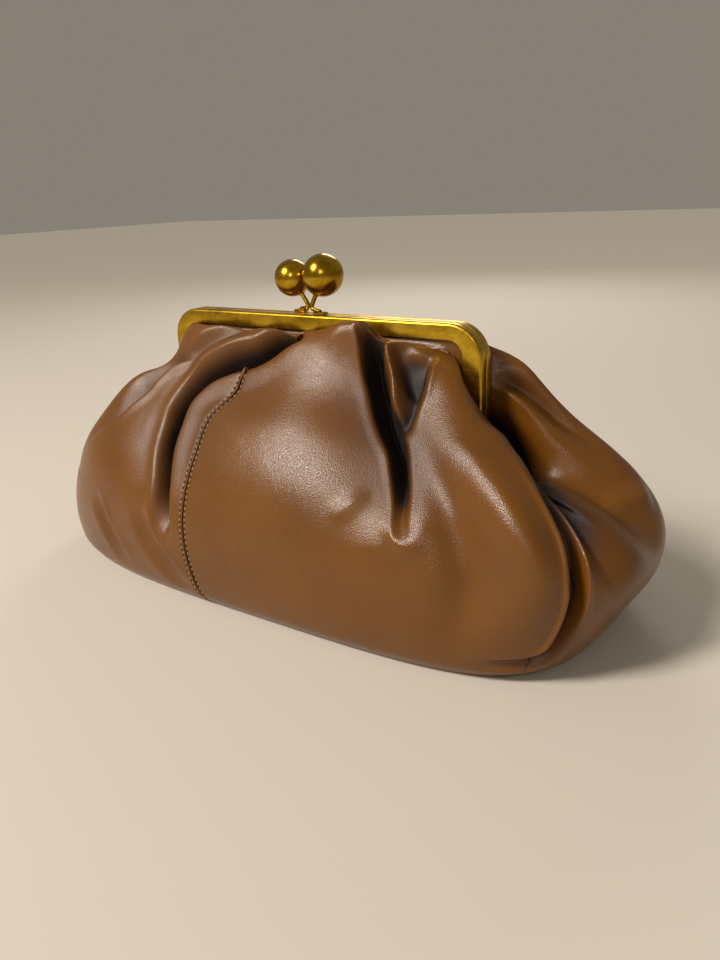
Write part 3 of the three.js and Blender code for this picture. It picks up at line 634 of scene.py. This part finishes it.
STITCH_LENGTH = 1.8
STITCH_FLAT = 0.5  # the share of a stitch's length that lies on the leather
STITCH_TAPER = 0.7
THREAD_RADIUS = 0.3
STITCH_START = 6.0
STITCH_DIVE = 0.32
THREAD_LIFT = 0.12
bpy.ops.object.select_all(action="DESELECT")
bpy.ops.mesh.primitive_cylinder_add(vertices=6, radius=THREAD_RADIUS, depth=STITCH_LENGTH * STITCH_FLAT,
                                    rotation=(0, math.pi / 2, 0))
bpy.ops.object.transform_apply(location=True, rotation=True, scale=True)
stitch = bpy.context.object
bpy.ops.object.mode_set(mode="EDIT")
for end in (-1, 1):
    bpy.ops.mesh.select_mode(type="VERT")
    bpy.ops.mesh.select_all(action="DESELECT")
    edited = bmesh.from_edit_mesh(stitch.data)
    for corner in edited.verts:
        corner.select = corner.co.x * end > 0.2 * STITCH_LENGTH
    edited.select_flush(True)
    bmesh.update_edit_mesh(stitch.data)
    dive = (end * STITCH_LENGTH * (1 - STITCH_FLAT) / 2, 0, -STITCH_DIVE)
    bpy.ops.mesh.extrude_region_move(TRANSFORM_OT_translate={"value": dive})
    bpy.ops.transform.resize(value=(1, STITCH_TAPER, STITCH_TAPER))
bpy.ops.object.mode_set(mode="OBJECT")
one_stitch = np.array([corner.co[:] for corner in stitch.data.vertices])
one_faces = [list(face.vertices) for face in stitch.data.polygons]
bpy.data.objects.remove(stitch)


def thread(name, rows):
    """All the stitches of one seam, row by row."""
    points = []
    faces = []
    for line, sideways, along in rows:
        for far in np.arange(STITCH_START, STITCH_END, STITCH_PITCH):
            middle = (math.floor(far / STITCH_PITCH) + 0.5) * STITCH_PITCH
            centre = place_along(line, along, middle)
            ahead = place_along(line, along, middle + 1) - centre
            ahead /= np.linalg.norm(ahead)
            out = np.cross(place_along(sideways, along, middle), ahead)
            out /= np.linalg.norm(out)
            frame_of_stitch = np.stack([ahead, np.cross(out, ahead), out])
            faces += [[corner + len(points) for corner in face] for face in one_faces]
            points += (centre + out * THREAD_LIFT + one_stitch @ frame_of_stitch).tolist()
    return new_piece(name, points, faces)


def thread_finish():
    material = bpy.data.materials.new("tan_thread")
    material.use_nodes = True
    tree = material.node_tree
    shader = tree.nodes["Principled BSDF"]
    place = Value(tree, tree.nodes.new("ShaderNodeTexCoord").outputs["Object"])
    twist = place.make("ShaderNodeTexWave", {"bands_direction": "DIAGONAL"},
                       {"Vector": place, "Scale": 900.0})
    tans = [(0.1, (0.30, 0.17, 0.075, 1)), (0.9, (0.52, 0.34, 0.19, 1))]
    colour = place.make("ShaderNodeValToRGB", {"stops": tans}, {"Fac": twist})
    tree.links.new(colour.socket, shader.inputs["Base Color"])
    bump = place.make("ShaderNodeBump", {}, {"Strength": 0.3, "Distance": 0.0001, "Height": twist})
    tree.links.new(bump.socket, shader.inputs["Normal"])
    shader.inputs["Roughness"].default_value = 0.55
    return material


tan_thread = thread_finish()
for name, rows in (("front_seam_thread", ("front_leather", "left_end_leather")),
                   ("back_seam_thread", ("back_leather", "right_end_leather"))):
    piece = thread(name, [stitch_lines[row] for row in rows])
    piece.data.materials.append(tan_thread)
    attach(piece, "root")

# Frame halves
# Two U-shaped channels of gold plated brass, folded so that the leather's edge is pressed into a slot inside.
# Their outer front edge is chamfered, and the whole is brushed to a soft shine.

LEG_WIDTH = 10.0
BAR_HEIGHT = 8.0
LEG_FOOT = 96.0
HALF_GAP = 0.4
HALF_DEPTH = 6.0
CHAMFER = 1.3
BEND_STEPS = 14
SLOT_WALL = 1.3
SLOT_DEPTH = 5.6
INNER_SIDE = 1.0
CLOSE = 0.1
EDGE_ANGLE = 35


def choose(test):
    """Select the edited piece's corners whose place passes the test, and the edges and faces between them."""
    bpy.ops.mesh.select_mode(type="VERT")
    bpy.ops.mesh.select_all(action="DESELECT")
    edited = bmesh.from_edit_mesh(bpy.context.edit_object.data)
    for corner in edited.verts:
        corner.select = test(corner.co / MM)
    edited.select_flush(True)
    bmesh.update_edit_mesh(bpy.context.edit_object.data)


def frame_inset(place):
    """How far a place lies inside the frame's outer outline."""
    x = abs(place.x) - (FRAME_HALF - FRAME_CORNER)
    z = place.z - (FRAME_TOP - FRAME_CORNER)
    if x > 0 and z > 0:
        return FRAME_CORNER - math.hypot(x, z)
    return FRAME_CORNER - max(x, z)


def extrude(x, y, z):
    """Extrude what is selected by a move in millimetres."""
    bpy.ops.mesh.extrude_region_move(TRANSFORM_OT_translate={"value": (x * MM, y * MM, z * MM)})


def turn_corner(side):
    """Carry the open end of the channel round a corner of the frame."""
    centre = (side * (FRAME_HALF - FRAME_CORNER) * MM, 0, (FRAME_TOP - FRAME_CORNER) * MM)
    bpy.ops.mesh.spin(steps=BEND_STEPS, angle=-math.pi / 2, center=centre, axis=(0, 1, 0))


def merge_and_face_out():
    bpy.ops.mesh.select_all(action="SELECT")
    bpy.ops.mesh.remove_doubles(threshold=0.00001)
    bpy.ops.mesh.normals_make_consistent(inside=False)


def soften_edges(piece, width):
    """Round the piece's sharp edges a little, and shade the rest smooth."""
    soft = piece.modifiers.new("soft_edges", "BEVEL")
    soft.width = width * MM
    soft.segments = 2
    soft.limit_method = "ANGLE"
    soft.angle_limit = math.radians(EDGE_ANGLE)
    bpy.ops.object.modifier_apply(modifier="soft_edges")
    bpy.ops.object.shade_smooth_by_angle(angle=math.radians(EDGE_ANGLE))


bpy.ops.object.select_all(action="DESELECT")
bpy.ops.mesh.primitive_plane_add(size=MM)
front_half = bpy.context.object
front_half.name = "front_frame_half"
bpy.ops.object.mode_set(mode="EDIT")
bpy.ops.transform.resize(value=(LEG_WIDTH, HALF_DEPTH - HALF_GAP, 1))
leg_centre = Vector((LEG_WIDTH / 2 - FRAME_HALF, -(HALF_DEPTH + HALF_GAP) / 2, LEG_FOOT))
bpy.ops.transform.translate(value=leg_centre * MM)
extrude(0, 0, FRAME_TOP - FRAME_CORNER - LEG_FOOT)
turn_corner(-1)
extrude(2 * (FRAME_HALF - FRAME_CORNER), 0, 0)
turn_corner(1)
extrude(0, 0, LEG_FOOT + FRAME_CORNER - FRAME_TOP)
merge_and_face_out()
choose(lambda place: frame_inset(place) > INNER_SIDE and place.z > FRAME_TOP - FRAME_CORNER - CLOSE)
bpy.ops.transform.translate(value=(0, 0, (LEG_WIDTH - BAR_HEIGHT) * MM))
choose(lambda place: frame_inset(place) > INNER_SIDE)
bpy.ops.mesh.inset(thickness=SLOT_WALL * MM, depth=-SLOT_DEPTH * MM, use_even_offset=True)
choose(lambda place: frame_inset(place) < CLOSE and place.y < -HALF_DEPTH + CLOSE)
bpy.ops.mesh.bevel(offset=CHAMFER * MM, segments=3, profile=0.5, affect="EDGES")
bpy.ops.object.mode_set(mode="OBJECT")
soften_edges(front_half, 0.25)

back_half = front_half.copy()
back_half.data = front_half.data.copy()
back_half.name = "back_frame_half"
back_half.data.transform(Matrix.Rotation(math.pi, 4, "Z"))
bpy.context.scene.collection.objects.link(back_half)

# Hinge rivets
# A plain brass rivet through the feet of both halves, at each end of the frame.
# It holds the halves together and lets them swing open.

RIVET_RADIUS = 1.4
RIVET_HEAD_RADIUS = 2.8
RIVET_HEAD = 0.8
RIVET_X = 96.0
RIVET_Z = 100.0
FIT_GAP = 0.3
HEAD_STEPS = ((0.3, 0.82), (0.2, 0.55))  # share of the head's height, and how far each step narrows
rivets = []
for hand, name in ((-1, "left_hinge_rivet"), (1, "right_hinge_rivet")):
    bpy.ops.object.select_all(action="DESELECT")
    shoulder = HALF_DEPTH + FIT_GAP
    bpy.ops.mesh.primitive_cylinder_add(
        vertices=32, radius=RIVET_RADIUS * MM, depth=2 * shoulder * MM,
        location=(hand * RIVET_X * MM, 0, RIVET_Z * MM), rotation=(math.pi / 2, 0, 0))
    bpy.ops.object.transform_apply(location=True, rotation=True, scale=True)
    rivet = bpy.context.object
    rivet.name = name
    bpy.ops.object.mode_set(mode="EDIT")
    for face in (-1, 1):
        choose(lambda place: place.y * face > shoulder - CLOSE)
        extrude(0, 0, 0)
        grow = RIVET_HEAD_RADIUS / RIVET_RADIUS
        bpy.ops.transform.resize(value=(grow, 1, grow))
        extrude(0, face * RIVET_HEAD * 0.5, 0)
        for share, narrowing in HEAD_STEPS:
            extrude(0, face * RIVET_HEAD * share, 0)
            bpy.ops.transform.resize(value=(narrowing, 1, narrowing))
    merge_and_face_out()
    bpy.ops.object.mode_set(mode="OBJECT")
    soften_edges(rivet, 0.1)
    rivets.append(rivet)

# Ball clasps
# A round brass ball on a bent wire post, soldered to a small foot on the bar of each half.
# The two posts bend towards each other, and the balls snap past each other to shut the bag.

POST_RADIUS = 1.2
FOOT_LENGTH = 7.0
FOOT_DEPTH = 4.4
FOOT_HEIGHT = 1.4
FOOT_INSET = 0.7
FOOT_STEP = 0.25
POST_BEND = 1.7
COLLAR_ANGLE = 11
COLLAR_STEP = 0.5
COLLAR_NARROWING = 0.75


def ball_clasp(name, side, ball_radius, centre, foot, pinch):
    """One clasp: its foot, its post with a rounded bend, and its ball with a collar at the post."""
    bpy.ops.object.select_all(action="DESELECT")
    foot_level = FRAME_TOP + FIT_GAP
    foot_y = side * HALF_DEPTH / 2
    foot_centre = Vector((foot, foot_y, foot_level + FOOT_HEIGHT / 2))
    bpy.ops.mesh.primitive_cube_add(size=MM, location=foot_centre * MM)
    plate = bpy.context.object
    plate.name = name
    bpy.ops.object.mode_set(mode="EDIT")
    bpy.ops.transform.resize(value=(FOOT_LENGTH, FOOT_DEPTH, FOOT_HEIGHT))
    bpy.ops.object.mode_set(mode="OBJECT")
    bpy.ops.object.transform_apply(location=True, rotation=True, scale=True)
    bpy.ops.object.mode_set(mode="EDIT")
    choose(lambda place: place.z > foot_level + FOOT_HEIGHT - CLOSE)
    bpy.ops.mesh.inset(thickness=FOOT_INSET * MM, depth=-FOOT_STEP * MM)
    bpy.ops.object.mode_set(mode="OBJECT")
    soften_edges(plate, 0.3)

    start = Vector((foot, foot_y, foot_level + POST_RADIUS + FIT_GAP))
    bend = Vector(pinch)
    top = Vector(centre)
    lower = (bend - start).normalized()
    upper = (top - bend).normalized()
    swing = lower.angle(upper)
    axis = lower.cross(upper).normalized()
    inward = (upper - upper.dot(lower) * lower).normalized()
    cut_back = POST_BEND * math.tan(swing / 2)
    bpy.ops.object.select_all(action="DESELECT")
    bpy.ops.mesh.primitive_circle_add(
        vertices=20, radius=POST_RADIUS * MM, fill_type="NGON", location=start * MM,
        rotation=lower.to_track_quat("Z", "Y").to_euler())
    bpy.ops.object.transform_apply(location=True, rotation=True, scale=True)
    post = bpy.context.object
    bpy.ops.object.mode_set(mode="EDIT")
    bpy.ops.mesh.select_all(action="SELECT")
    extrude(*(lower * ((bend - start).length - cut_back)))
    hub = bend - lower * cut_back + inward * POST_BEND
    bpy.ops.mesh.spin(steps=10, angle=-swing, center=hub * MM, axis=axis)
    extrude(*(upper * ((top - bend).length - cut_back)))
    merge_and_face_out()
    bpy.ops.object.mode_set(mode="OBJECT")
    bpy.ops.object.shade_smooth_by_angle(angle=math.radians(50))

    bpy.ops.object.select_all(action="DESELECT")
    bpy.ops.mesh.primitive_uv_sphere_add(
        segments=64, ring_count=40, radius=ball_radius * MM, location=top * MM,
        rotation=upper.to_track_quat("Z", "Y").to_euler())
    bpy.ops.object.transform_apply(location=True, rotation=True, scale=True)
    ball = bpy.context.object
    bpy.ops.object.mode_set(mode="EDIT")
    choose(lambda place: (place - top).normalized().dot(-upper) > math.cos(math.radians(COLLAR_ANGLE)))
    extrude(*(-upper * COLLAR_STEP))
    extrude(*(-upper * COLLAR_STEP))
    bpy.ops.transform.resize(value=(COLLAR_NARROWING, COLLAR_NARROWING, COLLAR_NARROWING))
    bpy.ops.object.mode_set(mode="OBJECT")
    bpy.ops.object.shade_smooth_by_angle(angle=math.radians(40))
    plate.select_set(True)
    post.select_set(True)
    ball.select_set(True)
    bpy.context.view_layer.objects.active = plate
    bpy.ops.object.join()
    return plate


clasps = {
    "clasp_front": ball_clasp("front_ball_clasp", -1, 11.0, (7.8, -1, 170.4), 6.2, (-0.4, -2.2, 153.2)),
    "clasp_back": ball_clasp("back_ball_clasp", 1, 9.8, (-13.6, 1, 168.4), -10.6, (-4.2, 2.2, 153.0)),
}


def gold_finish(name, dullness, age):
    material = bpy.data.materials.new(name)
    material.use_nodes = True
    tree = material.node_tree
    shader = tree.nodes["Principled BSDF"]
    place = Value(tree, tree.nodes.new("ShaderNodeTexCoord").outputs["Object"])
    smudge = place.make("ShaderNodeTexNoise", {}, {"Vector": place, "Scale": 90.0, "Detail": 4.0})
    grime = place.make("ShaderNodeTexNoise", {}, {"Vector": place, "Scale": 420.0, "Detail": 3.0})
    tilt = (0.0, math.radians(38), math.radians(8))
    tilted = place.make("ShaderNodeMapping", {},
                        {"Vector": place, "Rotation": tilt, "Scale": (30.0, 600.0, 2600.0)})
    brushed = place.make("ShaderNodeTexNoise", {}, {"Vector": tilted, "Scale": 1.0, "Detail": 2.0})
    scratch = place.make("ShaderNodeMapRange", {"interpolation_type": "SMOOTHSTEP"},
                         {"Value": brushed, "From Min": 0.66, "From Max": 0.74})
    tone = 0.7 * smudge + 0.3 * grime - age
    golds = [(0.32, (0.34, 0.185, 0.010, 1)), (0.52, (0.55, 0.335, 0.022, 1)), (0.72, (0.70, 0.46, 0.05, 1))]
    colour = place.make("ShaderNodeValToRGB", {"stops": golds}, {"Fac": tone})
    tree.links.new(colour.socket, shader.inputs["Base Color"])
    rough = dullness + 0.14 * smudge + 0.10 * grime + 0.16 * scratch
    tree.links.new(rough.socket, shader.inputs["Roughness"])
    marks = grime + 0.8 * scratch
    bump = place.make("ShaderNodeBump", {}, {"Strength": 0.12, "Distance": 0.0002, "Height": marks})
    tree.links.new(bump.socket, shader.inputs["Normal"])
    shader.inputs["Metallic"].default_value = 1.0
    return material


satin_gold = gold_finish("satin_gold", 0.2, 0.0)
polished_gold = gold_finish("polished_gold", 0.1, 0.14)
metal = {
    "frame_front": (front_half, satin_gold),
    "frame_back": (back_half, satin_gold),
    "hinge_pin_left": (rivets[0], satin_gold),
    "hinge_pin_right": (rivets[1], satin_gold),
    "clasp_front": (clasps["clasp_front"], polished_gold),
    "clasp_back": (clasps["clasp_back"], polished_gold),
}
for node, (piece, finish) in metal.items():
    piece.data.materials.clear()
    piece.data.materials.append(finish)
    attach(piece, "root")
    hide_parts(node)

# Floor, light and camera
# A plain pale floor under a key, a fill and a back lamp and soft light from a window, seen from the
# photograph's place.

bpy.ops.object.select_all(action="DESELECT")
bpy.ops.mesh.primitive_plane_add(size=12, location=(0, 0, 0))
floor = bpy.context.object
floor.name = "floor"
paper = bpy.data.materials.new("pale_floor")
paper.use_nodes = True
paper.node_tree.nodes["Principled BSDF"].inputs["Base Color"].default_value = (0.64, 0.59, 0.52, 1)
paper.node_tree.nodes["Principled BSDF"].inputs["Roughness"].default_value = 0.9
floor.data.materials.append(paper)

world = bpy.data.worlds.new("studio")
bpy.context.scene.world = world
world.use_nodes = True
world.node_tree.nodes["Background"].inputs["Color"].default_value = (0.90, 0.80, 0.66, 1)
world.node_tree.nodes["Background"].inputs["Strength"].default_value = 0.27

LAMP_AIM = Vector((0, 0, 0.08))
LAMPS = {  # place, size, power and colour of each square lamp
    "key": ((-0.54, -0.96, 1.03), 0.3, 13, (1.0, 0.93, 0.84)),
    "fill": ((0.46, -1.14, 0.74), 0.3, 2.0, (1.0, 0.96, 0.9)),
    "back": ((-0.5, 1.2, 0.8), 0.5, 4, (1.0, 0.95, 0.88)),
}
for name, (place, size, power, colour) in LAMPS.items():
    light = bpy.data.lights.new(name, "AREA")
    light.size = size
    light.energy = power
    light.color = colour
    holder = bpy.data.objects.new(name, light)
    holder.location = place
    holder.rotation_euler = (LAMP_AIM - Vector(place)).to_track_quat("-Z", "Y").to_euler()
    bpy.context.scene.collection.objects.link(holder)
sun = bpy.data.objects.new("window", bpy.data.lights.new("window", "SUN"))
sun.data.energy = 1.4
sun.data.angle = math.radians(14)
sun.data.color = (1.0, 0.93, 0.84)
sun.rotation_euler = Vector((0.42, 0.62, -0.75)).to_track_quat("-Z", "Y").to_euler()
bpy.context.scene.collection.objects.link(sun)
bpy.context.scene.view_settings.view_transform = "Standard"

CAMERA_PLACE = Vector((0.2373, -0.3273, 0.2094))
CAMERA_TURN = math.radians(33.0)
CAMERA_PITCH = math.radians(21.2)
CAMERA_ROLL = math.radians(-2.5)
FOCAL_PIXELS = 738.0
IMAGE_HEIGHT = 960.0
SENSOR = 36.0
camera = bpy.data.objects.new("camera", bpy.data.cameras.new("camera"))
camera.data.sensor_width = SENSOR
camera.data.lens = SENSOR * FOCAL_PIXELS / IMAGE_HEIGHT
level = math.cos(CAMERA_PITCH)
back = Vector((math.sin(CAMERA_TURN) * level, -math.cos(CAMERA_TURN) * level, math.sin(CAMERA_PITCH)))
level_right = (-back).cross(Vector((0, 0, 1))).normalized()
level_up = level_right.cross(-back)
right = level_right * math.cos(CAMERA_ROLL) + level_up * math.sin(CAMERA_ROLL)
up = level_up * math.cos(CAMERA_ROLL) - level_right * math.sin(CAMERA_ROLL)
camera.matrix_world = Matrix((
    (right.x, up.x, back.x, CAMERA_PLACE.x),
    (right.y, up.y, back.y, CAMERA_PLACE.y),
    (right.z, up.z, back.z, CAMERA_PLACE.z),
    (0, 0, 0, 1)))
bpy.context.scene.collection.objects.link(camera)
bpy.context.scene.camera = camera
